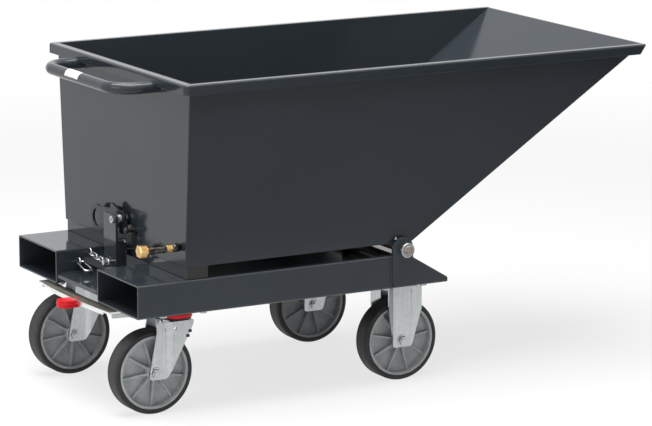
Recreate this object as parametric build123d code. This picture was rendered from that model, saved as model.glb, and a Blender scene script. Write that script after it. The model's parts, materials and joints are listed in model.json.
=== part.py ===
"""Tipping hopper: a sheet trough on a fork-pocket undercarriage with two fixed and two swivel castors.

Lengths are in mm, +X runs from the push handle to the pouring lip, +Y is the left side, +Z is up.
Positions along X are counted from the rear end of the fork pockets and shifted when written out,
so that the origin ends up on the ground under the middle of the whole object.
"""

import os
from math import asin, atan, atan2, cos, degrees, radians, sin, tan

from build123d import *

os.makedirs("parts", exist_ok=True)

# Castor wheels
WHEEL_D = 200.0
WHEEL_W = 50.0
TYRE_DEPTH = 12.0
TYRE_SHOULDER = 7.0
HUB_RIM = 6.0
HUB_RIM_W = 48.0
HUB_WEB = 16.0
HUB_RIBS = 9
HUB_RIB_W = 4.5
HUB_RIB_ROOT = 46.0
HUB_RIB_TIP = 30.0
HUB_RIB_BITE = 4.0
HUB_BOSS_EDGE = 3.0
FRONT_RIB_TURN = -7.0
REAR_RIB_TURN = -27.0
HUB_BOSS_D = 38.0
HUB_BOSS_W = 52.0
AXLE_SLEEVE_D = 20.0
AXLE_BOLT_D = 12.0
AXLE_HEX = 19.0
AXLE_HEX_H = 7.0
AXLE_END = 3.0

# Castor forks
FORK_INSIDE = 55.0
FORK_SHEET = 4.0
CASTOR_PLATE_L = 140.0
CASTOR_PLATE_W = 110.0
CASTOR_PLATE_T = 6.0
CASTOR_PLATE_CORNER = 6.0
CASTOR_HOLES_L = 105.0
CASTOR_HOLES_W = 80.0
CASTOR_BOLT_D = 10.0
CASTOR_BOLT_HEX = 17.0
CASTOR_BOLT_HEAD = 6.4
PAD_THICK = 6.0
CROWN_DROP = 8.0
LEG_BELOW_AXLE = 16.5
LEG_CORNER = 9.0
WING_BEND = 34.0
FIXED_LEG = 52.0
FIXED_WING = 24.0
FIXED_WING_LEVEL = 80.0
SWIVEL_LEG_REAR = 18.0
SWIVEL_LEG_RAKE = 26.0
SWIVEL_LEG_FRONT = 29.0
SWIVEL_JOGGLE = 13.0
SWIVEL_EYE_D = 8.0
CROWN_D = 72.0
SWIVEL_WING_FRONT = 97.0
TRAIL = 69.0
RACE_D = 56.0
RACE_H = 20.0
KINGPIN_D = 20.0
KINGPIN_NUT = 30.0
KINGPIN_NUT_H = 8.0
DUST_RING_D = 78.0
DUST_RING_H = 9.0
DUST_RING_EDGE = 2.5
RACE_SEAL_D = 74.0
RACE_SEAL_H = 5.0

# Fork pockets
POCKET_W = 217.0
POCKET_H = 80.0
POCKET_WALL = 4.0
POCKET_EDGE = 5.0
POCKET_SPACING = 226.0
POCKET_BOTTOM = 252.0
POCKET_TOP_LENGTH = 720.0
POCKET_TOE_LENGTH = 831.0
TOE_NOSE = 12.5
TOE_ROUND = 6.0
FRONT_AXLE_BACK = 80.0
REAR_AXLE_X = 82.0

# Cross channels between the pockets
CHANNEL_TOP = 276.0
CHANNEL_SHEET = 5.0
CHANNEL_FLANGE = 19.0
CHANNEL_LIP = 8.0
CHANNEL_CORNER = 12.0
CHANNEL_W = 120.0
FRONT_CHANNEL_BACK = 241.0

# Tipping pivot
PIVOT_X = 702.0
PIVOT_Z = 348.5
SHAFT_D = 22.0
SHAFT_PROUD = 2.9
SHAFT_EDGE = 1.5
EAR_W = 56.0
EAR_THICK = 8.0
EAR_FOOT = 4.0
EAR_CORNER = 14.0
COLLAR_D = 36.0
COLLAR_L = 24.0
COLLAR_EDGE = 1.2
GRUB_HOLE_D = 8.0
LUG_D = 48.0
LUG_THICK = 12.0
LUG_Y = 85.0
LUG_NECK = 40.0

# Trough
SHEET = 3.0
TROUGH_REAR = 125.4
TROUGH_FLOOR = 361.0
TROUGH_TOP = 796.0
TROUGH_CORNER = 732.0
TROUGH_LIP = 1370.0
HALF_FLOOR = 325.0
HALF_TOP = 355.5
RIM_SIDE = 17.0
RIM_REAR = 20.0
RIM_H = 24.0
RIM_CORNER = 14.0
RIM_EDGE = 5.0
RIM_END_CUT = 17.0
REST_BEAM_X = (130.0, 184.0)
REST_BEAM_HALF = 322.0
REST_BEAM_WALL = 3.0
BEAM_CAP_T = 3.0
BEAM_CAP_PLUG = 12.0

# Push handle
HANDLE_D = 28.0
HANDLE_WALL = 2.5
HANDLE_X = 14.0
HANDLE_BELOW = 27.0
HANDLE_HALF = 203.0
HANDLE_BEND = 62.0

# Latch
POST_X = 86.0
POST_SHEET = 6.0
POST_Y = (-38.0, 27.0)
POST_TOP = 437.0
POST_FLANGE_TOP = 338.0
POST_FLANGE = 22.0
POST_CORNER = 6.0
LEVER_PIVOT = (-27.0, 427.0)
LEVER_THICK = 6.0
LEVER_WASHER = 2.0
LEVER_BOSS_D = 36.0
LEVER_BOLT_D = 10.0
LEVER_BOLT_HEX = 17.0
LEVER_BOLT_HEAD = 6.5
LEVER_NUT_H = 7.0
LEVER_NUT_SHORT = 4.0
SPRING_WASHER_D = 22.0
SPRING_WASHER_T = 2.0
EYE = (108.0, 406.0)
EYE_D = 42.0
EYE_RING_D = 64.0
EYE_INSET = 10.0
EYE_SHOULDER = 30.0
LEVER_NECK = 17.0
LEVER_HOOK = (
    (0.0, 0.0), (-18.0, -2.0), (-28.0, -22.0), (-28.0, -26.0),
    (-20.0, -30.0), (-16.0, -36.0), (10.0, -38.0), (14.0, 0.0),
)
LEVER_FINGER = ((60.0, 6.0), (58.0, 24.0), (50.0, 29.0), (-12.0, 8.0), (-14.0, 0.0), (0.0, -6.0))
CATCH = (-64.0, 404.0)
CATCH_D = 10.0
CATCH_L = 28.0
CATCH_HEAD_D = 16.0
CATCH_HEAD_L = 7.0
CATCH_HEAD_EDGE = 2.5
CATCH_FOOT_D = 20.0
CATCH_FOOT_H = 4.0
SPRING_WIRE = 2.2
SPRING_D = 17.2
SPRING_TURNS = 3.0

# Brake treadle across the rear
BRAKE_PIVOT = (52.0, 236.0)
BRAKE_PIN_D = 10.0
BRAKE_HALF = 195.0
BRAKE_BAR_W = 31.0
BRAKE_BAR_T = 6.0
BRAKE_BAR_TOP = 245.0
BRAKE_END_X = -9.0
BRAKE_BOW = 10.0
BRAKE_LIP_T = 3.0
BRAKE_LIP_H = 11.5
BRAKE_LIP_ENDS = (-165.0, 115.0)
BRAKE_ARM_T = 5.0
BRAKE_ARM_EYE = 18.0
BRAKE_LUG_W = 22.0
BRAKE_ARM_INSET = 8.0
BRAKE_ARM_NOSE = 7.0
BRAKE_PIN_END = 4.0
PAD_X = -21.0
PAD_L = 60.0
PAD_W = 40.0
PAD_H = 19.0
PAD_EDGE = 5.0

# Drain valve on the rear wall, each length counted outwards from the wall
DRAIN = (-299.0, 406.0)
DRAIN_SPIGOT_D = 13.0
DRAIN_NUT_D = 20.0
DRAIN_NUT_L = 22.0
DRAIN_NUT_ROUND = 7.0
DRAIN_LOCK_HEX = 17.0
DRAIN_LOCK_L = 16.0
DRAIN_BODY_D = 18.0
DRAIN_BODY_L = 44.0
DRAIN_CAP_HEX = 28.0
DRAIN_CAP_GAP = 8.0
DRAIN_CAP_L = 18.0
DRAIN_CAP_FACE = 5.0
DRAIN_CAP_EDGE = 1.5
DRAIN_STEM_D = 6.0
DRAIN_STEM_L = 7.0
DRAIN_BOSS_D = 11.0
DRAIN_BOSS_H = 11.0
DRAIN_TEE_L = 26.0
DRAIN_TEE_W = 9.0
DRAIN_TEE_H = 4.0
DRAIN_TEE_EDGE = 1.2

# Safety chain in the gap between the pockets
CHAIN_WIRE = 4.0
CHAIN_BEND = 7.0
CHAIN_LINKS = 6
CHAIN_SAG = 5.0
CHAIN_EYE = (90.0, 320.0)
CHAIN_STUD = (-27.0, 325.0)
CHAIN_STUD_D = 7.0
CHAIN_STUD_L = 24.0
CHAIN_STUD_HEX = 13.0
CHAIN_STUD_HEAD = 5.0
CHAIN_HANG = 16.0
HOOK_EYE = (60.0, 300.0)
HOOK_WIRE = 6.0
HOOK_BEND = 9.5
HOOK_L = 62.0
HOOK_DROP = 11.9
WALL_EYE_R = 9.0
WALL_EYE_BAR = 5.0

# Clearances
RUNNING = 0.05
AXIAL = 0.4
BOLT_CLEAR = 0.2
REST_GAP = 0.4
TOUCH = 0.1

# Derived levels and positions
WHEEL_R = WHEEL_D / 2
POCKET_IN = POCKET_SPACING / 2
POCKET_OUT = POCKET_IN + POCKET_W
POCKET_MID = POCKET_IN + POCKET_W / 2
POCKET_TOP = POCKET_BOTTOM + POCKET_H
PAD_BOTTOM = POCKET_BOTTOM - PAD_THICK
PLATE_BOTTOM = PAD_BOTTOM - CASTOR_PLATE_T
FRONT_AXLE_X = POCKET_TOE_LENGTH - FRONT_AXLE_BACK
FRONT_CHANNEL_X = POCKET_TOE_LENGTH - FRONT_CHANNEL_BACK
SWIVEL_X = REAR_AXLE_X + TRAIL
CHUTE_ANGLE = atan2(TROUGH_TOP - TROUGH_FLOOR, TROUGH_LIP - TROUGH_CORNER)
SIDE_LEAN = atan((HALF_TOP - HALF_FLOOR) / (TROUGH_TOP - TROUGH_FLOOR))
SHAFT_HALF = POCKET_OUT + EAR_THICK + TOUCH + COLLAR_L + SHAFT_PROUD
HANDLE_Z = TROUGH_TOP - HANDLE_BELOW
LEVER_X = TROUGH_REAR - LEVER_NUT_SHORT - LEVER_NUT_H - SPRING_WASHER_T - AXIAL - LEVER_THICK
REAR_MOST = PAD_X - PAD_L / 2
X_MIDDLE = (REAR_MOST + TROUGH_LIP) / 2
DRAIN_NUT_X = (TROUGH_REAR - DRAIN_NUT_L, TROUGH_REAR)
DRAIN_LOCK_X = (DRAIN_NUT_X[0] - TOUCH - DRAIN_LOCK_L, DRAIN_NUT_X[0] - TOUCH)
DRAIN_BODY_X = (DRAIN_LOCK_X[0] - TOUCH - DRAIN_BODY_L, DRAIN_LOCK_X[0] - TOUCH)
DRAIN_CAP_X = (DRAIN_BODY_X[0] - DRAIN_CAP_GAP - DRAIN_CAP_L, DRAIN_BODY_X[0] - DRAIN_CAP_GAP)
DRAIN_STEM_X = (DRAIN_BODY_X[0] + DRAIN_BODY_X[1]) / 2
DRAIN_BOSS_TOP = DRAIN[1] + DRAIN_BOSS_H
LEFT, RIGHT = 1, -1


def block(x, y, z):
    """A box between two positions on each axis."""
    size = [hi - lo for lo, hi in (x, y, z)]
    middle = [(hi + lo) / 2 for lo, hi in (x, y, z)]
    return Pos(*middle) * Box(*size)


def rod_x(d, x, y, z):
    return Pos((x[0] + x[1]) / 2, y, z) * Rot(0, 90, 0) * Cylinder(d / 2, x[1] - x[0])


def rod_y(d, x, y, z):
    return Pos(x, (y[0] + y[1]) / 2, z) * Rot(90, 0, 0) * Cylinder(d / 2, y[1] - y[0])


def rod_z(d, x, y, z):
    return Pos(x, y, (z[0] + z[1]) / 2) * Cylinder(d / 2, z[1] - z[0])


def six_sides(flats):
    return RegularPolygon(flats / 2, 6, major_radius=False)


def hex_x(flats, x, y, z):
    plane = Plane((x[0], y, z), x_dir=(0, 1, 0), z_dir=(1, 0, 0))
    return extrude(plane * six_sides(flats), x[1] - x[0])


def hex_y(flats, x, y, z):
    plane = Plane((x, y[1], z), x_dir=(1, 0, 0), z_dir=(0, -1, 0))
    return extrude(plane * six_sides(flats), y[1] - y[0])


def hex_z(flats, x, y, z):
    return extrude(Pos(x, y, z[0]) * six_sides(flats), z[1] - z[0])


def polygon(points):
    return make_face(Polyline(*points, close=True))


def cut_from_side(sketch, y):
    """A flat shape drawn in X and Z, given thickness along Y."""
    return extrude(Plane((0, y[1], 0), x_dir=(1, 0, 0), z_dir=(0, -1, 0)) * sketch, y[1] - y[0])


def cut_from_rear(sketch, x):
    """A flat shape drawn in Y and Z, given thickness along X."""
    return extrude(Plane((x[0], 0, 0), x_dir=(0, 1, 0), z_dir=(1, 0, 0)) * sketch, x[1] - x[0])


def other_side(shape):
    return mirror(shape, about=Plane.XZ)


def fork_pocket():
    """The left pocket: a rectangular tube whose front end is cut on a slant into a toe."""
    outline = polygon([
        (0, POCKET_BOTTOM),
        (POCKET_TOE_LENGTH, POCKET_BOTTOM),
        (POCKET_TOE_LENGTH, POCKET_BOTTOM + TOE_NOSE),
        (POCKET_TOP_LENGTH, POCKET_TOP),
        (0, POCKET_TOP),
    ])
    nose = outline.vertices().group_by(Axis.X)[-1].sort_by(Axis.Y)[-1]
    tube = cut_from_side(fillet(nose, TOE_ROUND), (POCKET_IN, POCKET_OUT))
    tube = fillet(tube.edges().filter_by(Axis.X), POCKET_EDGE)
    inside = block(
        (-1, POCKET_TOE_LENGTH + 1),
        (POCKET_IN + POCKET_WALL, POCKET_OUT - POCKET_WALL),
        (POCKET_BOTTOM + POCKET_WALL, POCKET_TOP - POCKET_WALL),
    )
    return tube - inside


def cross_channel(x_rear):
    """A folded channel between the pockets: a deep flange in front, a short lip and round corners behind."""
    x = (x_rear, x_rear + CHANNEL_W)
    y = (-POCKET_IN, POCKET_IN)
    low = CHANNEL_TOP - CHANNEL_FLANGE
    outer = block(x, y, (low, CHANNEL_TOP))
    outer = fillet(outer.edges().filter_by(Axis.Z).group_by(Axis.X)[0], CHANNEL_CORNER)
    outer = fillet(outer.edges().filter_by(Axis.Y).group_by(Axis.Z)[-1], CHANNEL_SHEET)
    beyond = (y[0] - 1, y[1] + 1)
    fold = x[0] + CHANNEL_SHEET
    hollow = block((fold, x[1] - CHANNEL_SHEET), beyond, (low - 1, CHANNEL_TOP - CHANNEL_SHEET))
    hollow += block((x[0] - 1, fold), beyond, (low - 1, CHANNEL_TOP - CHANNEL_LIP))
    return outer - hollow


def pivot_ear():
    """The left strip outside the pocket that carries the tipping shaft."""
    foot = POCKET_BOTTOM + EAR_FOOT
    x = (PIVOT_X - EAR_W / 2, PIVOT_X + EAR_W / 2)
    strip = polygon([(x[0], foot), (x[1], foot), (x[1], PIVOT_Z), (x[0], PIVOT_Z)])
    strip = fillet(strip.vertices().group_by(Axis.Y)[0], EAR_CORNER)
    pivot = Pos(PIVOT_X, PIVOT_Z)
    shape = strip + pivot * Circle(EAR_W / 2) - pivot * Circle(SHAFT_D / 2 + RUNNING)
    return cut_from_side(shape, (POCKET_OUT, POCKET_OUT + EAR_THICK))


def pivot_shaft():
    shaft = rod_y(SHAFT_D, PIVOT_X, (-SHAFT_HALF, SHAFT_HALF), PIVOT_Z)
    return chamfer(shaft.edges().filter_by(GeomType.CIRCLE), SHAFT_EDGE)


def shaft_collar():
    """The left set collar, with its grub screw hole, holding the shaft against the ear."""
    y = (POCKET_OUT + EAR_THICK + TOUCH, POCKET_OUT + EAR_THICK + TOUCH + COLLAR_L)
    ring = rod_y(COLLAR_D, PIVOT_X, y, PIVOT_Z)
    ring = chamfer(ring.edges().filter_by(GeomType.CIRCLE), COLLAR_EDGE)
    ring -= rod_y(SHAFT_D + 2 * RUNNING, PIVOT_X, (y[0] - 1, y[1] + 1), PIVOT_Z)
    return ring - rod_z(GRUB_HOLE_D, PIVOT_X, (y[0] + y[1]) / 2, (PIVOT_Z + SHAFT_D / 2, PIVOT_Z + COLLAR_D))


def castor_pattern(x_middle, side):
    """The four bolt positions of one castor plate."""
    for sx in (-1, 1):
        for sy in (-1, 1):
            yield x_middle + sx * CASTOR_HOLES_L / 2, side * POCKET_MID + sy * CASTOR_HOLES_W / 2


def castor_plate(x_middle, z):
    """A drilled flat plate under the left pocket."""
    plate = block(
        (x_middle - CASTOR_PLATE_L / 2, x_middle + CASTOR_PLATE_L / 2),
        (POCKET_MID - CASTOR_PLATE_W / 2, POCKET_MID + CASTOR_PLATE_W / 2),
        z,
    )
    plate = fillet(plate.edges().filter_by(Axis.Z), CASTOR_PLATE_CORNER)
    for x, y in castor_pattern(x_middle, LEFT):
        plate -= rod_z(CASTOR_BOLT_D + 2 * BOLT_CLEAR, x, y, (z[0] - 1, z[1] + 1))
    return plate


def castor_bolts(x_middle):
    """Hex bolts, heads down, of the two castors at one end."""
    bolts = []
    for side in (LEFT, RIGHT):
        for x, y in castor_pattern(x_middle, side):
            head = hex_z(CASTOR_BOLT_HEX, x, y, (PLATE_BOTTOM - CASTOR_BOLT_HEAD, PLATE_BOTTOM))
            bolts.append(head + rod_z(CASTOR_BOLT_D, x, y, (PLATE_BOTTOM, POCKET_BOTTOM)))
    return Compound(bolts)


def folded_leg(folds, side, outline, x_axle):
    """One leg of a left fork: sheet folded along upright lines, trimmed to its outline and drilled.

    Each fold is its place along X and how far the sheet stands out there from the plain leg.
    """
    lean = tan(radians(WING_BEND) / 2)
    inner = []
    for i, (x, out) in enumerate(folds):
        before = folds[i][1] - folds[i - 1][1] if i else 0
        after = folds[i + 1][1] - out if i + 1 < len(folds) else 0
        turn = (after > 0 or before > 0) - (after < 0 or before < 0)
        inner.append((x + turn * FORK_SHEET * lean, out - FORK_SHEET))
    face = FORK_INSIDE / 2 + FORK_SHEET
    ring = [(x, POCKET_MID + side * (face + out)) for x, out in folds + inner[::-1]]
    sheet = extrude(Pos(0, 0, -LEG_BELOW_AXLE) * polygon(ring), POCKET_BOTTOM)
    y = sorted((POCKET_MID, POCKET_MID + side * FORK_INSIDE))
    hole = rod_y(AXLE_BOLT_D + 2 * BOLT_CLEAR, x_axle, y, WHEEL_R)
    return (sheet & cut_from_side(outline, y)) - hole


def fixed_fork():
    """The left fixed castor: plate, crown and two legs with a tapered wing along both edges."""
    x = FRONT_AXLE_X
    crown_z = (PLATE_BOTTOM - CROWN_DROP, PLATE_BOTTOM)
    flat = FIXED_LEG / 2
    wide = flat + FIXED_WING * cos(radians(WING_BEND))
    rise = FIXED_WING * sin(radians(WING_BEND))
    wing_top = PLATE_BOTTOM - CASTOR_BOLT_HEAD - AXIAL
    half = [
        (flat, WHEEL_R - LEG_BELOW_AXLE),
        (wide, WHEEL_R + FIXED_WING_LEVEL),
        (wide, wing_top),
        (flat, wing_top),
        (flat, crown_z[1]),
    ]
    outline = polygon([(x + u, z) for u, z in half] + [(x - u, z) for u, z in half[::-1]])
    outline = fillet(outline.vertices().group_by(Axis.Y)[0], LEG_CORNER)
    folds = [(x - wide, rise), (x - flat, 0), (x + flat, 0), (x + wide, rise)]
    inside = FORK_INSIDE / 2
    outside = inside + FORK_SHEET
    narrow = inside - FORK_SHEET
    crown = block((x - wide, x + wide), (POCKET_MID - narrow, POCKET_MID + narrow), crown_z)
    crown += block((x - flat, x + flat), (POCKET_MID - outside, POCKET_MID + outside), crown_z)
    fork = castor_plate(x, (PLATE_BOTTOM, PAD_BOTTOM)) + crown
    for side in (LEFT, RIGHT):
        fork += folded_leg(folds, side, outline, x)
    return fork


def swivel_plate():
    """The left swivel head that stays still: plate, ball race, kingpin and its nut."""
    crown_top = PLATE_BOTTOM - RACE_H
    crown_bottom = crown_top - CROWN_DROP
    head = castor_plate(SWIVEL_X, (PLATE_BOTTOM, PAD_BOTTOM))
    head += rod_z(RACE_D, SWIVEL_X, POCKET_MID, (crown_top + AXIAL, PLATE_BOTTOM))
    head += rod_z(KINGPIN_D, SWIVEL_X, POCKET_MID, (crown_bottom - AXIAL - KINGPIN_NUT_H, PLATE_BOTTOM))
    nut_z = (crown_bottom - AXIAL - KINGPIN_NUT_H, crown_bottom - AXIAL)
    return head + hex_z(KINGPIN_NUT, SWIVEL_X, POCKET_MID, nut_z)


def swivel_fork():
    """The left swivel fork: crown on the kingpin and two raked legs that step outwards at the front."""
    crown_z = (PLATE_BOTTOM - RACE_H - CROWN_DROP, PLATE_BOTTOM - RACE_H)
    foot = WHEEL_R - LEG_BELOW_AXLE
    rear = REAR_AXLE_X - SWIVEL_LEG_REAR
    fold = REAR_AXLE_X + SWIVEL_LEG_FRONT
    rise = SWIVEL_JOGGLE * sin(radians(WING_BEND))
    step = fold + SWIVEL_JOGGLE * cos(radians(WING_BEND))
    front = REAR_AXLE_X + SWIVEL_WING_FRONT
    outline = polygon([
        (rear, foot),
        (fold, foot),
        (front, crown_z[0]),
        (front, crown_z[1]),
        (rear + SWIVEL_LEG_RAKE, crown_z[1]),
    ])
    outline = fillet(outline.vertices().group_by(Axis.Y)[0], LEG_CORNER)
    outline -= Pos(step + SWIVEL_EYE_D, crown_z[0] - SWIVEL_EYE_D) * Circle(SWIVEL_EYE_D / 2)
    folds = [(rear, 0), (fold, 0), (step, rise), (front, rise)]
    fork = rod_z(CROWN_D, SWIVEL_X, POCKET_MID, crown_z)
    fork += block((step, SWIVEL_X), (POCKET_MID - CROWN_D / 2, POCKET_MID + CROWN_D / 2), crown_z)
    for side in (LEFT, RIGHT):
        fork += folded_leg(folds, side, outline, REAR_AXLE_X)
    return fork - rod_z(KINGPIN_D + 2 * RUNNING, SWIVEL_X, POCKET_MID, (crown_z[0] - 1, crown_z[1] + 1))


def race_ring(d, z):
    """A ring round the left ball race that turns with the fork."""
    ring = rod_z(d, SWIVEL_X, POCKET_MID, z)
    ring = fillet(ring.edges().group_by(Axis.Z)[-1], DUST_RING_EDGE)
    return ring - rod_z(RACE_D + 2, SWIVEL_X, POCKET_MID, (z[0] - 1, z[1] + 1))


def race_seal():
    crown_top = PLATE_BOTTOM - RACE_H
    return race_ring(RACE_SEAL_D, (crown_top, crown_top + RACE_SEAL_H))


def dust_ring():
    seal_top = PLATE_BOTTOM - RACE_H + RACE_SEAL_H
    return race_ring(DUST_RING_D, (seal_top, seal_top + DUST_RING_H))


def axle(x):
    """A left wheel's axle: sleeve between the legs, bolt through it, hex head and nut outside."""
    inner = FORK_INSIDE / 2
    outer = inner + FORK_SHEET
    y = POCKET_MID
    pin = rod_y(AXLE_SLEEVE_D, x, (y - inner, y + inner), WHEEL_R)
    tip = outer + AXLE_HEX_H + AXLE_END
    pin += rod_y(AXLE_BOLT_D, x, (y - tip, y + tip), WHEEL_R)
    pin += hex_y(AXLE_HEX, x, (y + outer, y + outer + AXLE_HEX_H), WHEEL_R)
    return pin + hex_y(AXLE_HEX, x, (y - outer - AXLE_HEX_H, y - outer), WHEEL_R)


def wheel_hub(x, turn):
    """A left wheel's moulded hub: ring, web, ribs on both faces and a bored boss."""
    y = POCKET_MID
    ring_r = WHEEL_R - TYRE_DEPTH
    ring = rod_y(2 * ring_r, x, (y - HUB_RIM_W / 2, y + HUB_RIM_W / 2), WHEEL_R)
    ring -= rod_y(2 * (ring_r - HUB_RIM), x, (y - HUB_RIM_W, y + HUB_RIM_W), WHEEL_R)
    hub = ring + rod_y(2 * ring_r - HUB_RIM, x, (y - HUB_WEB / 2, y + HUB_WEB / 2), WHEEL_R)
    reach = (HUB_BOSS_D / 2 - HUB_RIB_BITE, ring_r - HUB_RIM / 2)
    side = [(reach[0], HUB_RIB_ROOT / 2), (reach[1], HUB_RIB_TIP / 2)]
    rib = polygon(side + [(r, -h) for r, h in side[::-1]])
    rib = extrude(Pos(0, 0, -HUB_RIB_W / 2) * rib, HUB_RIB_W)
    for i in range(HUB_RIBS):
        hub += Pos(x, y, WHEEL_R) * Rot(0, turn + 360 / HUB_RIBS * i, 0) * rib
    boss = rod_y(HUB_BOSS_D, x, (y - HUB_BOSS_W / 2, y + HUB_BOSS_W / 2), WHEEL_R)
    boss = fillet(boss.edges().filter_by(GeomType.CIRCLE), HUB_BOSS_EDGE)
    hub += boss
    return hub - rod_y(AXLE_SLEEVE_D + 2 * RUNNING, x, (y - HUB_BOSS_W, y + HUB_BOSS_W), WHEEL_R)


def tyre(x):
    y = POCKET_MID
    ring = rod_y(WHEEL_D, x, (y - WHEEL_W / 2, y + WHEEL_W / 2), WHEEL_R)
    ring = fillet(ring.edges().filter_by(GeomType.CIRCLE), TYRE_SHOULDER)
    return ring - rod_y(WHEEL_D - 2 * TYRE_DEPTH, x, (y - WHEEL_W, y + WHEEL_W), WHEEL_R)


def between_sides():
    """The space between the inner faces of the leaning side panels."""
    rise = 200.0
    grow = rise * tan(SIDE_LEAN)
    inset = SHEET / cos(SIDE_LEAN)
    low = HALF_FLOOR - inset - grow
    high = HALF_TOP - inset + grow
    z = (TROUGH_FLOOR - rise, TROUGH_TOP + rise)
    outline = polygon([(-low, z[0]), (low, z[0]), (high, z[1]), (-high, z[1])])
    return cut_from_rear(outline, (-rise, TROUGH_LIP + rise))


def side_panel():
    """The left side of the trough, leaning outwards."""
    plane = Plane((0, HALF_FLOOR, TROUGH_FLOOR), x_dir=(1, 0, 0), z_dir=(0, -cos(SIDE_LEAN), sin(SIDE_LEAN)))
    height = (TROUGH_TOP - TROUGH_FLOOR) / cos(SIDE_LEAN)
    outline = polygon([(TROUGH_REAR, 0), (TROUGH_CORNER, 0), (TROUGH_LIP, height), (TROUGH_REAR, height)])
    return extrude(plane * outline, SHEET)


def trough_sheets():
    """Rear wall, floor and chute, mitred where the sheet is bent."""
    inner_floor = TROUGH_FLOOR + SHEET
    inner_rear = TROUGH_REAR + SHEET
    inner_corner = TROUGH_CORNER - SHEET * tan(CHUTE_ANGLE / 2)
    inner_lip = TROUGH_LIP - SHEET / sin(CHUTE_ANGLE)
    low_rear, in_rear = (TROUGH_REAR, TROUGH_FLOOR), (inner_rear, inner_floor)
    low_front, in_front = (TROUGH_CORNER, TROUGH_FLOOR), (inner_corner, inner_floor)
    rear = [low_rear, in_rear, (inner_rear, TROUGH_TOP), (TROUGH_REAR, TROUGH_TOP)]
    floor = [low_rear, low_front, in_front, in_rear]
    chute = [low_front, (TROUGH_LIP, TROUGH_TOP), (inner_lip, TROUGH_TOP), in_front]
    space = between_sides()
    wide = (-2 * HALF_TOP, 2 * HALF_TOP)
    names = ("trough_rear_wall", "trough_floor", "trough_chute")
    return {name: cut_from_side(polygon(p), wide) & space for name, p in zip(names, (rear, floor, chute))}


def side_rim():
    """The left folded rim with its closed, rounded rear corner and its slanted front end."""
    y = (HALF_TOP, HALF_TOP + RIM_SIDE)
    z = (TROUGH_TOP - RIM_H, TROUGH_TOP)
    x = (TROUGH_REAR - RIM_REAR, TROUGH_LIP)
    outline = polygon([(x[0], z[0]), (x[1] - RIM_END_CUT, z[0]), (x[1], z[1]), (x[0], z[1])])
    rim = cut_from_side(outline, y)
    corner = rim.edges().filter_by(Axis.Z).sort_by(Axis.Y)[-1]
    rim = fillet(corner, RIM_CORNER)
    top = rim.edges().group_by(Axis.Z)[-1]
    outer = [edge for edge in top if edge.center().Y > y[0] + TOUCH and edge.center().X < x[1] - TOUCH]
    rim = fillet(outer, RIM_EDGE)
    hollow = block((x[0] + SHEET, x[1] + 10), (y[0] - 10, y[1] - SHEET), (z[0] - 1, z[1] - SHEET))
    inner_corner = hollow.edges().filter_by(Axis.Z).group_by(Axis.X)[0].sort_by(Axis.Y)[-1]
    return rim - fillet(inner_corner, RIM_CORNER - SHEET)


def rear_rim():
    """The folded rim along the rear wall, notched where the handle passes under it."""
    x = (TROUGH_REAR - RIM_REAR, TROUGH_REAR)
    z = (TROUGH_TOP - RIM_H, TROUGH_TOP)
    y = (-HALF_TOP, HALF_TOP)
    rim = block(x, y, z)
    rim = fillet(rim.edges().filter_by(Axis.Y).group_by(Axis.Z)[-1].sort_by(Axis.X)[0], RIM_EDGE)
    rim -= block((x[0] + SHEET, x[1] + 1), (y[0] - 1, y[1] + 1), (z[0] - 1, z[1] - SHEET))
    for side in (LEFT, RIGHT):
        rim -= rod_x(HANDLE_D + 2 * TOUCH, (x[0] - 1, x[1] + 1), side * HANDLE_HALF, HANDLE_Z)
    return rim


def push_handle():
    """A bent tube bow lying flat under the rear rim."""
    corners = [
        (TROUGH_REAR, HANDLE_HALF, HANDLE_Z),
        (HANDLE_X, HANDLE_HALF, HANDLE_Z),
        (HANDLE_X, -HANDLE_HALF, HANDLE_Z),
        (TROUGH_REAR, -HANDLE_HALF, HANDLE_Z),
    ]
    path = FilletPolyline(*corners, radius=HANDLE_BEND)
    start = Plane(corners[0], x_dir=(0, 1, 0), z_dir=(-1, 0, 0))
    ring = Circle(HANDLE_D / 2) - Circle(HANDLE_D / 2 - HANDLE_WALL)
    return sweep(start * ring, path=path)


def rest_beam():
    """The hollow beam under the floor that the rear of the trough rests on."""
    z = (POCKET_TOP + REST_GAP, TROUGH_FLOOR)
    y = (-REST_BEAM_HALF, REST_BEAM_HALF)
    x = REST_BEAM_X
    hollow = block(
        (x[0] + REST_BEAM_WALL, x[1] - REST_BEAM_WALL),
        (y[0] - 1, y[1] + 1),
        (z[0] + REST_BEAM_WALL, z[1] - REST_BEAM_WALL),
    )
    return block(x, y, z) - hollow


def rest_beam_caps():
    """The moulded plugs that close the ends of the rest beam."""
    z = (POCKET_TOP + REST_GAP, TROUGH_FLOOR)
    y = (REST_BEAM_HALF, REST_BEAM_HALF + BEAM_CAP_T)
    cap = fillet(block(REST_BEAM_X, y, z).edges().group_by(Axis.Y)[-1], BEAM_CAP_T / 2)
    inset = REST_BEAM_WALL + RUNNING
    cap += block(
        (REST_BEAM_X[0] + inset, REST_BEAM_X[1] - inset),
        (REST_BEAM_HALF - BEAM_CAP_PLUG, REST_BEAM_HALF),
        (z[0] + inset, z[1] - inset),
    )
    return Compound([cap, other_side(cap)])


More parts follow.
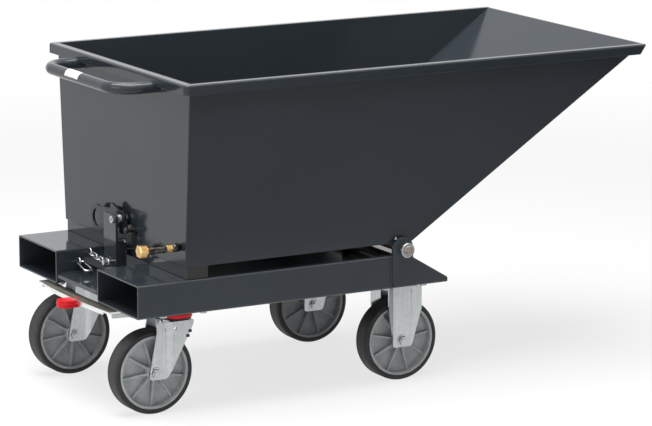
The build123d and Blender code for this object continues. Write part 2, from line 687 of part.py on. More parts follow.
def hinge_lugs():
    """The two plates under the floor that turn on the shaft."""
    centre = Pos(PIVOT_X, PIVOT_Z)
    neck = polygon([
        (PIVOT_X - LUG_NECK / 2, PIVOT_Z),
        (PIVOT_X + LUG_NECK / 2, PIVOT_Z),
        (PIVOT_X + LUG_NECK / 2, TROUGH_FLOOR),
        (PIVOT_X - LUG_NECK / 2, TROUGH_FLOOR),
    ])
    below = polygon([
        (PIVOT_X - LUG_D, PIVOT_Z - LUG_D),
        (PIVOT_X + LUG_D, PIVOT_Z - LUG_D),
        (PIVOT_X + LUG_D, TROUGH_FLOOR),
        (PIVOT_X - LUG_D, TROUGH_FLOOR),
    ])
    shape = (neck + centre * Circle(LUG_D / 2)) & below
    shape -= centre * Circle(SHAFT_D / 2 + RUNNING)
    lug = cut_from_side(shape, (LUG_Y - LUG_THICK / 2, LUG_Y + LUG_THICK / 2))
    return Compound([lug, other_side(lug)])


def catch_pin():
    """The stud on the rear wall that the latch hook holds down."""
    end = TROUGH_REAR - CATCH_L
    head = rod_x(CATCH_HEAD_D, (end, end + CATCH_HEAD_L), *CATCH)
    head = fillet(head.edges().filter_by(GeomType.CIRCLE), CATCH_HEAD_EDGE)
    pin = head + rod_x(CATCH_D, (end + CATCH_HEAD_L / 2, TROUGH_REAR), *CATCH)
    return pin + hex_x(CATCH_FOOT_D, (TROUGH_REAR - CATCH_FOOT_H, TROUGH_REAR), *CATCH)


def latch_post():
    """The upright on the rear channel: a web drilled for the lever bolt, flanged below."""
    front = POST_X + POST_SHEET
    web = block((POST_X, front), POST_Y, (CHANNEL_TOP, POST_TOP))
    web = fillet(web.edges().filter_by(Axis.X).group_by(Axis.Z)[-1], POST_CORNER)
    post = web - rod_x(LEVER_BOLT_D + 2 * BOLT_CLEAR, (POST_X - 1, front + 1), *LEVER_PIVOT)
    for y in ((POST_Y[0], POST_Y[0] + POST_SHEET), (POST_Y[1] - POST_SHEET, POST_Y[1])):
        post += block((front, front + POST_FLANGE), y, (CHANNEL_TOP, POST_FLANGE_TOP))
    return post


def latch_bolt():
    """The lever's bolt with head, washers and nut."""
    front = POST_X + POST_SHEET
    far = TROUGH_REAR - LEVER_NUT_SHORT
    nut = far - LEVER_NUT_H
    bolt = hex_x(LEVER_BOLT_HEX, (POST_X - LEVER_BOLT_HEAD, POST_X), *LEVER_PIVOT)
    bolt += rod_x(LEVER_BOLT_D, (POST_X - LEVER_BOLT_HEAD, far), *LEVER_PIVOT)
    bolt += rod_x(2 * LEVER_BOLT_D, (front, front + LEVER_WASHER), *LEVER_PIVOT)
    bolt += rod_x(SPRING_WASHER_D, (nut - SPRING_WASHER_T, nut), *LEVER_PIVOT)
    return bolt + hex_x(LEVER_BOLT_HEX, (nut, far), *LEVER_PIVOT)


def turn_gap(helix, turns):
    """The least distance between points of the coil's centre line that lie half a turn or more apart."""
    steps = 40
    points = [helix @ (i / (steps * turns)) for i in range(int(steps * turns) + 1)]
    return min((b - a).length for i, a in enumerate(points) for b in points[i + steps // 2:])


def latch_spring():
    """The coil between the post's washer and the lever."""
    first = POST_X + POST_SHEET + LEVER_WASHER + TOUCH + SPRING_WIRE / 2
    last = LEVER_X - AXIAL - SPRING_WIRE / 2
    height = last - first
    helix = Helix(pitch=height / SPRING_TURNS, height=height, radius=SPRING_D / 2)
    print("latch spring, least gap between turns:", round(turn_gap(helix, SPRING_TURNS) - SPRING_WIRE, 2))
    start = Plane(origin=helix @ 0, z_dir=helix % 0)
    coil = sweep(start * Circle(SPRING_WIRE / 2), path=helix, is_frenet=True)
    return Pos(first, *LEVER_PIVOT) * Rot(0, 90, 0) * coil


def latch_lever():
    """The plate with a pull eye at one end, a hook nose and a sloped finger at the other."""
    y, z = LEVER_PIVOT
    ey, ez = EYE
    arm = polygon([
        (ey - EYE_INSET, ez + EYE_SHOULDER),
        (y, z + LEVER_NECK),
        (y, z - LEVER_NECK),
        (ey - EYE_INSET, ez - EYE_SHOULDER),
    ])
    hook = Pos(y, z) * polygon(LEVER_HOOK)
    finger = Pos(y, z) * polygon(LEVER_FINGER)
    shape = arm + hook + finger + Pos(ey, ez) * Circle(EYE_RING_D / 2) + Pos(y, z) * Circle(LEVER_BOSS_D / 2)
    shape -= Pos(ey, ez) * Circle(EYE_D / 2)
    shape -= Pos(y, z) * Circle(LEVER_BOLT_D / 2 + RUNNING)
    return cut_from_rear(shape, (LEVER_X, LEVER_X + LEVER_THICK))


def bowed_strip(width, drop):
    """A strip along the brake bar's rear edge, so wide and reaching so far down from the bar's top."""
    ends = [(BRAKE_END_X, BRAKE_HALF), (BRAKE_END_X - BRAKE_BOW, 0), (BRAKE_END_X, -BRAKE_HALF)]
    rear = ThreePointArc(*ends)
    front = ThreePointArc(*[(x + width, y) for x, y in ends])
    joins = [Line(rear @ i, front @ i) for i in (0, 1)]
    return extrude(Pos(0, 0, BRAKE_BAR_TOP - drop) * make_face([rear, front, *joins]), drop)


def brake_lip():
    """The lip turned down along most of the bar's rear edge."""
    reach = block(
        (BRAKE_END_X - BRAKE_BOW, BRAKE_END_X + BRAKE_BAR_W),
        BRAKE_LIP_ENDS,
        (BRAKE_BAR_TOP - BRAKE_LIP_H, BRAKE_BAR_TOP),
    )
    return bowed_strip(BRAKE_LIP_T, BRAKE_LIP_H) & reach


def brake_bar():
    """The bowed flat bar across the rear, with its lip."""
    return bowed_strip(BRAKE_BAR_W, BRAKE_BAR_T) + brake_lip()


def brake_arms():
    """The arms on edge under the ends of the bar, each reaching forward to a pivot pin."""
    x, z = BRAKE_PIVOT
    top = BRAKE_BAR_TOP - BRAKE_BAR_T
    eye = BRAKE_ARM_EYE / 2
    end = BRAKE_END_X + BRAKE_ARM_INSET
    arm = polygon([(end, top), (end, z - BRAKE_ARM_NOSE), (x, z - eye), (x, top)])
    arm += Pos(x, z) * Circle(eye)
    arm -= Pos(x, z) * Circle(BRAKE_PIN_D / 2 + RUNNING)
    arms = []
    for side in (LEFT, RIGHT):
        y = sorted((side * BRAKE_HALF, side * (BRAKE_HALF - BRAKE_ARM_T)))
        arms.append(cut_from_side(arm, y))
    return Compound(arms)


def brake_pad():
    """The oval foot pad under the middle of the bar, slotted for the lip."""
    top = BRAKE_BAR_TOP - BRAKE_BAR_T
    oval = extrude(Pos(PAD_X, 0, top - PAD_H) * SlotOverall(PAD_L, PAD_W), PAD_H)
    return fillet(oval.edges().group_by(Axis.Z)[0], PAD_EDGE) - brake_lip()


def brake_lugs():
    """The two lugs under the pockets, each with the pin its brake arm turns on."""
    x, z = BRAKE_PIVOT
    lugs = []
    for side in (LEFT, RIGHT):
        near = BRAKE_HALF + AXIAL
        y = sorted((side * near, side * (near + BRAKE_ARM_T)))
        shape = polygon([
            (x - BRAKE_LUG_W / 2, POCKET_BOTTOM),
            (x + BRAKE_LUG_W / 2, POCKET_BOTTOM),
            (x + BRAKE_LUG_W / 2, z),
            (x - BRAKE_LUG_W / 2, z),
        ])
        lug = cut_from_side(shape + Pos(x, z) * Circle(BRAKE_LUG_W / 2), y)
        pin = sorted((side * (near + BRAKE_ARM_T), side * (BRAKE_HALF - BRAKE_ARM_T - BRAKE_PIN_END)))
        lugs.append(lug + rod_y(BRAKE_PIN_D, x, pin, z))
    return Compound(lugs)


def drain_valve():
    """Round wall nut, neck, valve body with its stem boss and the threaded spigot for the cap."""
    y, z = DRAIN
    valve = rod_x(DRAIN_NUT_D, DRAIN_NUT_X, y, z)
    valve = fillet(valve.edges().filter_by(GeomType.CIRCLE), DRAIN_NUT_ROUND)
    valve += rod_x(DRAIN_SPIGOT_D, (DRAIN_CAP_X[0] + DRAIN_CAP_FACE + AXIAL, TROUGH_REAR), y, z)
    valve += rod_x(DRAIN_BODY_D, DRAIN_BODY_X, y, z)
    valve += rod_z(DRAIN_BOSS_D, DRAIN_STEM_X, y, (z, DRAIN_BOSS_TOP))
    socket = (DRAIN_BOSS_TOP - DRAIN_STEM_L - AXIAL, DRAIN_BOSS_TOP + 1)
    return valve - rod_z(DRAIN_STEM_D + 2 * RUNNING, DRAIN_STEM_X, y, socket)


def drain_lock_nut():
    y, z = DRAIN
    nut = hex_x(DRAIN_LOCK_HEX, DRAIN_LOCK_X, y, z)
    nut = chamfer(nut.edges().filter_by(GeomType.LINE).group_by(Axis.X)[0], DRAIN_CAP_EDGE)
    return nut - rod_x(DRAIN_SPIGOT_D + 2 * RUNNING, (DRAIN_LOCK_X[0] - 1, DRAIN_LOCK_X[1] + 1), y, z)


def drain_handle():
    """The tee handle and its stem."""
    y = DRAIN[0]
    base = DRAIN_BOSS_TOP + AXIAL
    bar = Pos(DRAIN_STEM_X, y, base) * SlotOverall(DRAIN_TEE_L, DRAIN_TEE_W)
    tee = extrude(bar, DRAIN_TEE_H)
    tee = fillet(tee.edges().group_by(Axis.Z)[-1], DRAIN_TEE_EDGE)
    return tee + rod_z(DRAIN_STEM_D, DRAIN_STEM_X, y, (DRAIN_BOSS_TOP - DRAIN_STEM_L, base))


def drain_cap():
    y, z = DRAIN
    cap = hex_x(DRAIN_CAP_HEX, DRAIN_CAP_X, y, z)
    cap = chamfer(cap.edges().group_by(Axis.X)[0], DRAIN_CAP_EDGE)
    bore = rod_x(DRAIN_SPIGOT_D + 2 * RUNNING, (DRAIN_CAP_X[0] + DRAIN_CAP_FACE, DRAIN_CAP_X[1] + 1), y, z)
    return cap - bore


def oval_ring(straight, bend, wire):
    """A closed ring of round bar lying along X, flat: two straight sides joined by two half rings."""
    half = straight / 2
    reach = half + bend + wire
    room = (-reach, reach)
    ring = Compound([])
    for end in (1, -1):
        beyond = sorted((end * half, end * reach))
        ring += Pos(end * half, 0, 0) * Torus(bend, wire / 2) & block(beyond, room, room)
        ring += rod_x(wire, (-half, half), end * bend, 0)
    return ring


def safety_chain():
    """Links hung flat and upright in turn from the left pocket's eye to the stud on the post."""
    eye_y = POCKET_IN - WALL_EYE_R + WALL_EYE_BAR / 2 + AXIAL / 2
    start = Vector(CHAIN_EYE[0], eye_y, CHAIN_EYE[1])
    end = Vector(POST_X - CHAIN_HANG, CHAIN_STUD[0] - CHAIN_STUD_D / 2 - AXIAL, CHAIN_STUD[1])
    points = []
    for i in range(CHAIN_LINKS + 1):
        share = i / CHAIN_LINKS
        points.append(start + (end - start) * share - Vector(0, 0, 4 * CHAIN_SAG * share * (1 - share)))
    pitch = max((b - a).length for a, b in zip(points, points[1:]))
    link = oval_ring(pitch + TOUCH + CHAIN_WIRE - 2 * CHAIN_BEND, CHAIN_BEND, CHAIN_WIRE)
    links = []
    for i, (a, b) in enumerate(zip(points, points[1:])):
        along = b - a
        across = Vector(-along.Y, along.X, 0)
        normal = across if i % 2 else along.cross(across)
        links.append(Plane(origin=(a + b) / 2, x_dir=along, z_dir=normal) * link)
    return Compound(links + [chain_hook()])


def chain_hook():
    """The chain's spare oval hook, parked in its own eye with its nose sloping down over the channel."""
    x, z = HOOK_EYE
    straight = HOOK_L - 2 * HOOK_BEND - HOOK_WIRE
    inside = HOOK_L / 2 - HOOK_WIRE
    slope = degrees(asin(HOOK_DROP / (2 * inside + HOOK_WIRE / 2)))
    hook = Pos(inside, 0, 0) * oval_ring(straight, HOOK_BEND, HOOK_WIRE)
    held = Pos(x, POCKET_IN - WALL_EYE_R + WALL_EYE_BAR / 2 + TOUCH, z)
    return held * Rot(0, 0, -90) * Rot(0, slope, 0) * hook


def wall_eye(x, z):
    """A half ring of round bar, welded on edge to the left pocket's inner wall."""
    reach = WALL_EYE_R + WALL_EYE_BAR
    ring = Pos(x, POCKET_IN, z) * Rot(0, 90, 0) * Torus(WALL_EYE_R, WALL_EYE_BAR / 2)
    return ring & block((x - reach, x + reach), (POCKET_IN - reach, POCKET_IN), (z - reach, z + reach))


def chain_anchors():
    """The eyes on the pockets' inner walls and the stud on the post that the chain hangs from."""
    head = POST_X - CHAIN_STUD_L
    stud = rod_x(CHAIN_STUD_D, (head, POST_X), *CHAIN_STUD)
    stud += hex_x(CHAIN_STUD_HEX, (head - CHAIN_STUD_HEAD, head), *CHAIN_STUD)
    parking = wall_eye(*HOOK_EYE)
    return Compound([wall_eye(*CHAIN_EYE), parking, other_side(parking), stud])


def both(name, left):
    """A left piece and its mirror image, as two nodes."""
    return {name + "_left": left, name + "_right": other_side(left)}


def undercarriage():
    nodes = both("fork_pocket", fork_pocket())
    nodes["rear_cross_channel"] = cross_channel(0)
    nodes["front_cross_channel"] = cross_channel(FRONT_CHANNEL_X)
    nodes |= both("pivot_ear", pivot_ear())
    nodes["pivot_shaft"] = pivot_shaft()
    collar = shaft_collar()
    nodes["shaft_collars"] = Compound([collar, other_side(collar)])
    pads = [castor_plate(x, (PAD_BOTTOM, POCKET_BOTTOM)) for x in (FRONT_AXLE_X, SWIVEL_X)]
    nodes["castor_pads"] = Compound(pads + [other_side(pad) for pad in pads])
    nodes["front_castor_bolts"] = castor_bolts(FRONT_AXLE_X)
    nodes["rear_castor_bolts"] = castor_bolts(SWIVEL_X)
    nodes["brake_lugs"] = brake_lugs()
    nodes["safety_chain"] = safety_chain()
    nodes["chain_anchors"] = chain_anchors()
    return nodes


def latch():
    return {
        "latch_post": latch_post(),
        "latch_bolt": latch_bolt(),
        "latch_spring": latch_spring(),
        "latch_lever": latch_lever(),
    }


def castors():
    nodes = both("fixed_fork", fixed_fork())
    nodes |= both("swivel_plate", swivel_plate())
    nodes |= both("swivel_fork", swivel_fork())
    nodes |= both("dust_ring", dust_ring())
    nodes |= both("race_seal", race_seal())
    for end, x, turn in (("front", FRONT_AXLE_X, FRONT_RIB_TURN), ("rear", REAR_AXLE_X, REAR_RIB_TURN)):
        nodes |= both(end + "_axle", axle(x))
        nodes |= both(end + "_hub", wheel_hub(x, turn))
        nodes |= both(end + "_tyre", tyre(x))
    return nodes


def trough():
    nodes = trough_sheets()
    nodes |= both("trough_side", side_panel())
    nodes |= both("trough_rim", side_rim())
    nodes["trough_rim_rear"] = rear_rim()
    nodes["push_handle"] = push_handle()
    nodes["rest_beam"] = rest_beam()
    nodes["rest_beam_caps"] = rest_beam_caps()
    nodes["hinge_lugs"] = hinge_lugs()
    nodes["catch_pin"] = catch_pin()
    nodes["drain_valve"] = drain_valve()
    nodes["drain_lock_nut"] = drain_lock_nut()
    nodes["drain_handle"] = drain_handle()
    nodes["drain_cap"] = drain_cap()
    return nodes


def brake():
    return {"brake_bar": brake_bar(), "brake_arms": brake_arms(), "brake_pad": brake_pad()}


for group in (undercarriage(), latch(), castors(), trough(), brake()):
    for node, shape in group.items():
        export_step(Pos(-X_MIDDLE, 0, 0) * shape, f"parts/{node}.step")
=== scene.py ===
"""Tipping hopper: the finish of every piece, the small fittings, the studio and the camera.

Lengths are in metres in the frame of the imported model: +X runs to the pouring lip, +Y is the left side,
+Z is up and the ground is at zero. Outlines of small turned pieces are in millimetres. Round pieces are
given by their radius, hexagons by their width across the flats, and threads by their pitch and depth.
"""

import json
from math import ceil, cos, radians, sin, tau
from random import Random

import bmesh
import bpy
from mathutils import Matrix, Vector


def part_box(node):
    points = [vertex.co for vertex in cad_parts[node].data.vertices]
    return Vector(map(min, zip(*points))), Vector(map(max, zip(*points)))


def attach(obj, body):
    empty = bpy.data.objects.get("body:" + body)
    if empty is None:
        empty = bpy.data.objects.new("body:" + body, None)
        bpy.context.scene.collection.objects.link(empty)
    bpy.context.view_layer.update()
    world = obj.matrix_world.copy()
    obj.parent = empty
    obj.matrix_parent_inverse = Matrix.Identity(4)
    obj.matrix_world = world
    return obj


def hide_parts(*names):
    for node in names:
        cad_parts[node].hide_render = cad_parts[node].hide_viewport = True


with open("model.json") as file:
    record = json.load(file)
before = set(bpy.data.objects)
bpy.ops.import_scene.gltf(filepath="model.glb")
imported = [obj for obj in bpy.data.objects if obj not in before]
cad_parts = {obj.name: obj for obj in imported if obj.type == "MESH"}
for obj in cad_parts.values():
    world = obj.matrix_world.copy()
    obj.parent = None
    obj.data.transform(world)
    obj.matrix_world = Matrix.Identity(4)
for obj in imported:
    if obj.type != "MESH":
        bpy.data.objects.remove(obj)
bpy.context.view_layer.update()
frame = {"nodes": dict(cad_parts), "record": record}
nodes = frame["nodes"]
scene = bpy.context.scene

MM = 0.001

# The ends of the undercarriage, and the sides with their way along Y
ENDS = ("front", "rear")
SIDES = {"left": 1, "right": -1}

# Camera, as the photograph was taken: turn and dip in degrees, lens and sensor in millimetres
CAMERA_PLACE = (-4.102159, -7.346421, 2.102196)
CAMERA_TURN = 29.30
CAMERA_DIP = 11.57
CAMERA_LENS = 192.58
CAMERA_SENSOR = 36.0
CAMERA_REACH = 100.0

# Rounding of edges, by the kind of piece, and the angles in degrees that part flat, smooth and sharp edges
EDGE_SHEET = 0.8 * MM
EDGE_FOLDED = 1.8 * MM
EDGE_MOULDED = 1.2 * MM
EDGE_SMALL = 0.4 * MM
EDGE_CLIP = 1.2 * MM
EDGE_TAB = 2.0 * MM
EDGE_STEPS = 2
FLAT_ANGLE = 0.5
SHARP_ANGLE = 28
SMOOTH_ANGLE = 40
JOIN_CORNERS = 0.01 * MM
JOIN_POINTS = 0.001 * MM
FACE_WEIGHT = 60

# Weld beads outside and in the trough's seams: spacing, ripple and unevenness are shares of the radius
WELD = 2.6 * MM
SEAM = 2.8 * MM
WELD_SIDES = 8
WELD_STEP = 0.7
WELD_RIPPLE = 2.4
WELD_MEAN = 0.88
WELD_WAVE = 0.13
WELD_CHANCE = 0.05

# Where the beads stop short of an edge, and the sheet of the latch post
EAR_WELD_STOP = 4 * MM
CHANNEL_CORNER = 13 * MM
RIM_STOP = 3 * MM
LIP_SHARE = 0.985
POST_SHEET = 6 * MM

# Tyres: the side as (out from the bore, in from the face), the groove as (down from the tread, in along it)
TYRE_SIDE = ((0, 1.2), (1.6, 0), (3.4, 0), (4.0, 0.6), (4.8, 0.6), (5.4, 0))
TREAD_GROOVE = ((0, 0), (0.9, 0.5), (0.9, 1.3), (0, 1.8))
TREAD_EDGE = 2.0 * MM
TYRE_SHOULDER = 6.0 * MM
SHOULDER_STEPS = 6
TYRE_STEPS = 144

# Axle ends: the washer as (beyond the nut, out from the fork), the nut's height and the screw that shows
AXLE_WASHER = ((0.1, 0), (3.0, 0), (3.6, 0.6), (3.0, 1.6), (0.1, 1.6))
AXLE_END = 3.0 * MM
AXLE_NUT = 7.0 * MM
AXLE_BOLT = 6.0 * MM
AXLE_PROUD = 0.3 * MM
AXLE_THREAD = (1.0 * MM, 0.5 * MM)
AXLE_STEPS = 40

# Castor clips: their size and heights, the place of the first one and the lean of the fork's edge
CLIP = (8 * MM, 9 * MM, 7 * MM)
CLIP_LEVELS = (0.194, 0.183)
CLIP_X = -0.4905
CLIP_LEAN = 0.53

# Fork ridges: the top and bottom of each as (x, z), and how deep the middle of the ridge lies in the leg
FORK_RIDGES = {
    "swivel": (((-0.5325, 0.192), (-0.5365, 0.118)), ((-0.552, 0.207), (-0.552, 0.112))),
    "fixed": (((0.1165, 0.226), (0.1130, 0.128)),),
}
RIDGE = 2.6 * MM
RIDGE_SUNK = 1.7 * MM
RIDGE_STEP = 6 * MM
RIDGE_SIDES = 16

# Latch: the pin's dome and the bolt's socket as (radius, place along X), the post's flange and its stop bolt
CATCH_DOME = ((0, 0.4), (6, 0.4), (5.4, -0.8), (3, -1.8), (0, -2.2))
BOLT_SOCKET = ((0, 1), (2.8, 1), (2.8, -0.4), (2.2, -0.7), (0, -0.5))
BOLT_SOCKET_SIDES = 6
FLANGE = (20 * MM, 4 * MM, 58 * MM)
FLANGE_TOP = 0.382
STOP_BOLT = 3 * MM
STOP_BOLT_DROP = 6 * MM
STOP_BOLT_SPAN = (-2 * MM, 18 * MM)
STOP_BOLT_THREAD = (1.2 * MM, 0.5 * MM)
STOP_BOLT_STEPS = 32
STOP_HEAD = 8 * MM
STOP_HEAD_SPAN = (13 * MM, 19 * MM)

# Pivot: the collar's set screw and the ear's grease nipple as (radius, height)
SET_SCREW = ((0, -4), (3.7, -4), (3.7, -0.8), (3.1, -0.2), (2.0, -0.2), (1.8, -2.2), (0, -2.2))
GREASE_NIPPLE = ((0, 0), (3.6, 0), (3.6, 3), (2.2, 4), (3.2, 6), (0, 8))
COLLAR_MIDDLE = 12 * MM
NIPPLE_IN = 9 * MM
NIPPLE_DROP = 4 * MM
SCREW_STEPS = 24

# Drain: the spigot between cap and valve body, two rings on the body and the gland of the tee's stem
DRAIN_GAP = 8 * MM
DRAIN_SPIGOT = 6.5 * MM
SPIGOT_THREAD = (1.5 * MM, 0.9 * MM)
DRAIN_BODY = 9 * MM
VALVE_RING = 4 * MM
VALVE_RING_INSETS = (4 * MM, 8 * MM)
VALVE_RING_RISE = 1.3 * MM
VALVE_RING_SUNK = 1 * MM
GLAND = 13 * MM
GLAND_SPAN = (-2.6 * MM, -0.6 * MM)

# Foot pad: the ridge round it and the tab that grips the bar
PAD_INSET = 1 * MM
PAD_RIDGE = 2 * MM
PAD_RIDGE_SIDES = 10
PAD_END_STEPS = 14
PAD_TAB = (11 * MM, 8 * MM, 14 * MM)
PAD_TAB_IN = 17 * MM
PAD_TAB_DEEP = 2 * MM

# Sticker: its middle and length along the handle, and its two edges in degrees from the top towards the rear
STICKER_Y = 0.015
STICKER_LENGTH = 72 * MM
STICKER_THICK = 0.25 * MM
STICKER_GLUE = 0.05 * MM
STICKER_TURN = (-8.0, 92.0)
STICKER_ROWS = 24
STICKER_COLUMNS = 16

# Floor and sky: how much of the shadow shows, the glow under it, and the ring where the floor goes white
FLOOR_SIZE = 60.0
FLOOR_PAPER = 0.80
FLOOR_SHADOW = 0.23
FLOOR_GLOW = 0.745
FLOOR_RING = (2.2, 4.5)
SKY_LIGHT = 0.27

# Lamps: name, place, aim, size and watts
LAMPS = (
    ("overhead_softbox", (-0.6, -0.2, 3.4), (0.0, 0.0, 0.3), (3.2, 2.6), 190.0),
    ("left_softbox", (-4.2, -1.0, 2.0), (0.0, 0.0, 0.5), (2.2, 2.2), 30.0),
)

# Cards that only show as reflections: a grey one on the floor and upright, and bright strips overhead
CARD_GREY = 0.50
CARD_DARK = 0.12
CARD_FADE = (1.0, 2.8)
CARD_X = (-1.6, 5.0)
CARD_Y = (-1.2, -4.2)
CARD_LIFT = 4 * MM
CARD_TOP = 1.6
STRIP_LEVEL = 6.0
STRIP_X = (-2.2, 1.8)
STRIP_ROWS = (-1.5, -0.9, -0.3, 0.3)
STRIP_WIDTH = 0.16
STRIP_Z = 3.2


class Wire:
    """A shader socket: arithmetic on it adds Math nodes, and node() adds any other kind."""

    def __init__(self, tree, socket=None):
        self.tree = tree
        self.socket = socket

    def node(self, kind, settings=None, sockets=None, out=0):
        """Adds a node, sets it up, feeds its sockets and gives one of its outputs."""
        made = self.tree.nodes.new("ShaderNode" + kind)
        for name, value in (settings or {}).items():
            setattr(made, name, value)
        for name, value in (sockets or {}).items():
            if isinstance(value, Wire):
                self.tree.links.new(value.socket, made.inputs[name])
            else:
                made.inputs[name].default_value = value
        return Wire(self.tree, made.outputs[out] if made.outputs else None)

    def maths(self, operation, *values):
        return self.node("Math", {"operation": operation}, dict(enumerate(values)))

    def __add__(self, other):
        return self.maths("ADD", self, other)

    def __sub__(self, other):
        return self.maths("SUBTRACT", self, other)

    def __rsub__(self, other):
        return self.maths("SUBTRACT", other, self)

    def __mul__(self, other):
        return self.maths("MULTIPLY", self, other)

    __radd__ = __add__
    __rmul__ = __mul__

    def either(self, other):
        """The larger of two values."""
        return self.maths("MAXIMUM", self, other)

    def between(self, low, high):
        """0 below low, 1 above high, smooth in between."""
        settings = {"interpolation_type": "SMOOTHSTEP"}
        return self.node("MapRange", settings, {"Value": self, "From Min": low, "From Max": high})

    def colour(self, first, second):
        """A colour that goes from first to second as this value goes from 0 to 1."""
        return self.node("Mix", {"data_type": "RGBA"}, {0: self, 6: first, 7: second}, out=2)

    def stretch(self, scale):
        """This place, multiplied along each axis."""
        return self.node("VectorMath", {"operation": "MULTIPLY"}, {0: self, 1: scale})

    def along(self, axis):
        """How far along X, Y or Z this place lies."""
        return self.node("SeparateXYZ", None, {0: self}, out=axis)

    def noise(self, scale, detail=3.0, roughness=0.5):
        """Cloudy noise at this place, with so many blobs to the metre."""
        return self.node("TexNoise", None, {
            "Vector": self, "Scale": scale, "Detail": detail, "Roughness": roughness,
        })

    def bump(self, strength, depth):
        """The normal of a surface with this height."""
        return self.node("Bump", None, {"Strength": strength, "Distance": depth, "Height": self})


def grey(level, tint=(1.0, 1.0, 1.0)):
    return (level * tint[0], level * tint[1], level * tint[2], 1.0)


def new_material(name):
    """An empty material, and the wire that its nodes are added to."""
    material = bpy.data.materials.new(name)
    material.use_nodes = True
    material.node_tree.nodes.clear()
    return material, Wire(material.node_tree)


def object_place(wire):
    return wire.node("TexCoord", out="Object")


def finish(name, coat):
    """A material whose surface is what coat() sets on the Principled shader."""
    material, wire = new_material(name)
    shader = wire.node("BsdfPrincipled", None, coat(object_place(wire)))
    wire.node("OutputMaterial", None, {"Surface": shader})
    return material


def powder_coat(level, gloss, roughness):
    """Dark grey coating with orange peel, faint clouds, slow waves in the sheet and hair scratches."""
    cool = (0.80, 1.0, 1.20)
    dark = grey(0.86 * level, cool)
    light = grey(1.14 * level, cool)

    def coat(place):
        peel = place.noise(520.0, detail=2.0)
        cloud = place.noise(4.0, detail=4.0)
        wave = place.noise(3.0, detail=1.0)
        scratch = place.stretch((9.0, 9.0, 260.0)).noise(3.0, detail=5.0, roughness=0.7).between(0.64, 0.72)
        return {
            "Base Color": cloud.colour(dark, light),
            "Roughness": roughness + 0.03 * cloud + 0.04 * scratch,
            "Specular IOR Level": gloss,
            "Normal": (peel + 0.5 * cloud + 45.0 * wave).bump(0.035, depth=0.5 * MM),
        }
    return coat


def zinc_plating(place):
    """Bright zinc with a blue cast, drawn streaks and mottled patches."""
    dull = grey(0.45, (0.95, 1.0, 1.02))
    bright = grey(0.54, (0.97, 1.0, 1.01))
    streak = place.stretch((60.0, 60.0, 3.0)).noise(4.0, detail=4.0, roughness=0.6)
    patch = place.noise(70.0)
    grain = place.noise(900.0, detail=2.0)
    tone = 0.5 * streak + 0.5 * patch
    return {
        "Base Color": tone.between(0.3, 0.7).colour(dull, bright),
        "Metallic": 1.0,
        "Roughness": 0.17 + 0.10 * patch,
        "Normal": (grain + 0.5 * streak).bump(0.05, depth=0.4 * MM),
    }


def zinc_with_painted_edge_highlight(place):
    """Smooth zinc, darker olive brown on the top face in bands along the strip, and brighter on the edge
    below as a painted highlight.
    """
    deep = (0.13, 0.12, 0.095, 1.0)
    pale = (0.34, 0.325, 0.28, 1.0)
    band = place.stretch((160.0, 4.0, 4.0)).noise(1.0, roughness=0.6)
    brown = band.between(0.3, 0.7).colour(deep, pale)
    bar_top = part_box("brake_bar")[1].z
    # By height: the top face gets the brown, and the edge below gets bright grey zinc as a painted highlight
    top = place.along("Z").between(bar_top - 1.2 * MM, bar_top - 0.4 * MM)
    return {
        "Base Color": top.colour(grey(0.80), brown),
        "Metallic": 1.0 - 0.4 * top,
        "Roughness": 0.20 + 0.2 * top,
        "Normal": place.noise(700.0, detail=2.0).bump(0.08, depth=0.3 * MM),
    }


def rusty_steel(place):
    """Bare turned steel with a brown film."""
    bare = grey(0.42, (1.05, 0.98, 0.92))
    rust = (0.22, 0.13, 0.085, 1.0)
    film = place.noise(160.0, detail=5.0, roughness=0.65).between(0.36, 0.62)
    grain = place.noise(1400.0, detail=2.0)
    return {
        "Base Color": film.colour(bare, rust),
        "Metallic": 1.0 - 0.65 * film,
        "Roughness": 0.36 + 0.3 * film,
        "Normal": (grain + film).bump(0.2, depth=0.4 * MM),
    }


def black_steel(place):
    """Blackened steel, worn a little brighter in patches."""
    wear = place.noise(220.0, detail=4.0, roughness=0.6).between(0.5, 0.72)
    return {
        "Base Color": wear.colour(grey(0.018), grey(0.10)),
        "Metallic": 0.35 + 0.5 * wear,
        "Roughness": 0.34 + 0.15 * wear,
        "Normal": place.noise(700.0, detail=2.0).bump(0.15, depth=0.5 * MM),
    }


def tyre_rubber(place):
    """Solid rubber with a fine moulded grain and a breath of dust."""
    clean = grey(0.020, (1.0, 1.0, 1.03))
    dusty = grey(0.042, (1.04, 1.0, 0.97))
    dust = place.noise(26.0, detail=5.0, roughness=0.65).between(0.4, 0.75)
    return {
        "Base Color": dust.colour(clean, dusty),
        "Roughness": 0.56 + 0.14 * dust,
        "Specular IOR Level": 0.4,
        "Normal": place.noise(1500.0).bump(0.22, depth=0.4 * MM),
    }


def hub_plastic(place):
    """Moulded grey plastic with flow clouds and a fine eroded grain."""
    dark = grey(0.38, (0.96, 1.0, 1.03))
    light = grey(0.47, (0.97, 1.0, 1.02))
    flow = place.noise(38.0, detail=4.0, roughness=0.6)
    return {
        "Base Color": flow.between(0.3, 0.7).colour(dark, light),
        "Roughness": 0.42 + 0.1 * flow,
        "Normal": place.noise(1800.0, detail=2.0).bump(0.14, depth=0.4 * MM),
    }


def red_plastic(place):
    """Glossy moulded red."""
    deep = (0.62, 0.004, 0.010, 1.0)
    bright = (0.80, 0.010, 0.018, 1.0)
    flow = place.noise(60.0)
    return {
        "Base Color": flow.colour(deep, bright),
        "Roughness": 0.34 + 0.12 * flow,
        "Specular IOR Level": 0.3,
        "Normal": place.noise(900.0, detail=2.0).bump(0.1, depth=0.4 * MM),
    }


